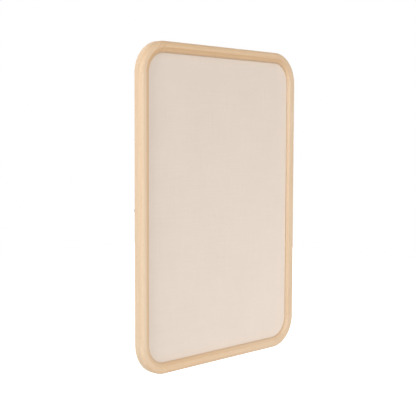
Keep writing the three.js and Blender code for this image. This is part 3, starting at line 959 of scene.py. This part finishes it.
def build_side(side, quarter, looks):
    """A straight length with its turn buttons, and its hanger if it has one."""
    turn = quarter * QUARTER_TURN
    reach = side["reach"]
    place = Matrix.Translation((reach * math.sin(turn), 0, BOARD_MIDDLE_Z + reach * math.cos(turn)))
    place = place @ Matrix.Rotation(turn, 4, "Y")
    length = side["length"]
    button_places = [sign * BUTTON_PLACE_SHARE * length for sign in (-1, 1)]
    joint_places = [sign * (length + GLUE_LINE) / 2 for sign in (-1, 1)]
    hook_places = [sign * PLATE_SCREW_SPACING / 2 for sign in (-1, 1)]
    holes = [moved(mortise(), Matrix.Translation((x, 0, 0))) for x in joint_places]
    holes += [screw_hole(BUTTON_SCREW, x, BUTTON_SCREW_SEAT, LAND_MIDDLE) for x in button_places]
    if side["hanger"]:
        holes += [screw_hole(HANGER_SCREW, x, HANGER_SCREW_SEAT, PLATE_MIDDLE) for x in hook_places]
    member = build_member("moulding_" + side["name"], length, holes)
    place_in_tree(member, 0, 11 + quarter)
    for mark in PAINTED_AND_TIMBER_MARKS:
        start, end = side[mark]
        mark_points(member, mark, lambda co: start + (end - start) * (co.x / length + 0.5))
    mark_points(member, "inset", lambda co: -co.z)
    dress(moved(member, place), looks["ash"], side["name"])
    for end, x in zip(side["ends"], button_places):
        key = f"{side['side']}_{end}"
        button = moved(build_button("button_" + key), place @ Matrix.Translation((x, 0, -LAND_MIDDLE)))
        dress(button, looks["plate"], "turn_button_" + key, body="turn_button_" + key)
        spot = place @ Matrix.Translation((x, BUTTON_SCREW_SEAT, -LAND_MIDDLE)) @ random_turn(x + quarter)
        screw = moved(build_screw("button_screw_" + key, **BUTTON_SCREW), spot)
        dress(screw, looks["screw"], "turn_button_screw_" + key)
    if not side["hanger"]:
        return
    key = side["side"]
    dress(moved(build_plate("plate_" + key), place), looks["plate"], "hanger_plate_" + key)
    ring = moved(build_ring("ring_" + key), place)
    dress(ring, looks["wire"], "hanger_ring_" + key, body="hanger_ring_" + key)
    for end, x in zip(side["ends"], hook_places):
        key = f"{side['side']}_{end}"
        spot = place @ Matrix.Translation((x, HANGER_SCREW_SEAT, -PLATE_MIDDLE)) @ random_turn(x + quarter)
        screw = moved(build_screw("plate_screw_" + key, **HANGER_SCREW), spot)
        dress(screw, looks["screw"], "hanger_screw_" + key)


def screw_hole(screw, x, seat, inset):
    return drill(screw["shank"] + FIT_GAP, -screw["length"], 2 * MM, x, seat, inset)


def build_corner_set(corner, quarter, looks):
    """A turned corner piece and the bumper behind it."""
    middle_x = corner["sign_x"] * (BOARD_WIDTH / 2 - CORNER_RADIUS)
    middle_z = corner["sign_z"] * (BOARD_HEIGHT / 2 - CORNER_RADIUS) + BOARD_MIDDLE_Z
    place = Matrix.Translation((middle_x, 0, middle_z)) @ Matrix.Rotation(quarter * QUARTER_TURN, 4, "Y")
    piece = build_corner("moulding_corner_" + corner["name"])
    place_in_tree(piece, -QUARTER_TURN / 2, 31 + quarter)
    before = SIDES[quarter]
    after = SIDES[(quarter + 1) % 4]
    for mark in PAINTED_AND_TIMBER_MARKS:
        start = before[mark][1]
        end = after[mark][0]
        mark_points(piece, mark, lambda co: end + (start - end) * math.atan2(co.z, co.x) / QUARTER_TURN)
    mark_points(piece, "inset", lambda co: CORNER_RADIUS - math.hypot(co.x, co.z))
    dress(moved(piece, place), looks["ash"], "corner_" + corner["name"])
    pad_reach = (CORNER_RADIUS - LAND_MIDDLE) * math.sqrt(0.5)
    pad = moved(build_bumper("pad_" + corner["name"]), place @ Matrix.Translation((pad_reach, 0, pad_reach)))
    dress(pad, looks["rubber"], "bumper_" + corner["name"])


def build_insert(looks):
    """The fabric and the back panel. The core keeps its CAD shape."""
    fabric = dress(build_fabric("linen_cover"), looks["linen"], "fabric_cover")
    dress(build_panel("panel_back"), looks["hardboard"], "back_panel")


def repaint(node, material):
    """Gives a CAD node that keeps its shape a material of its own."""
    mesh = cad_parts[node].data
    mesh.materials.clear()
    mesh.materials.append(material)


looks = {
    "ash": ash_material(),
    "linen": linen_material(),
    "hardboard": hardboard_material(),
    "plate": steel_material("zinc_plated", rgb(186, 188, 190), rgb(160, 162, 166), 420),
    "wire": steel_material("wire_plated", rgb(192, 193, 195), rgb(168, 170, 173), 700),
    "screw": steel_material("screw_plated", rgb(196, 195, 190), rgb(172, 170, 164), 600),
    "rubber": rubber_material(),
}
make_camera()
make_world()
make_sun("key", azimuth=-18, elevation=17, level=0.382, spread=26)
make_sun("side", azimuth=-75, elevation=12, level=0.28, spread=20)
make_sun("left_rim", azimuth=-110, elevation=5, level=0.285, spread=36)
make_sun("right_rim", azimuth=124, elevation=5, level=0.5, spread=20)
make_sun("back", azimuth=176, elevation=24, level=0.2, spread=40)
make_soft_box("low_fill", place=(0.5, -1.0, -0.8), size=0.6, power=2.4)
make_floor()
for quarter, side in enumerate(SIDES):
    build_side(side, quarter, looks)
for quarter, corner in enumerate(CORNERS):
    build_corner_set(corner, quarter, looks)
build_insert(looks)
repaint("pin_core", fibreboard_material())
beech = beech_material()
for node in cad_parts:
    if node.startswith("tenon_"):
        repaint(node, beech)
bpy.context.scene.view_settings.view_transform = "Standard"
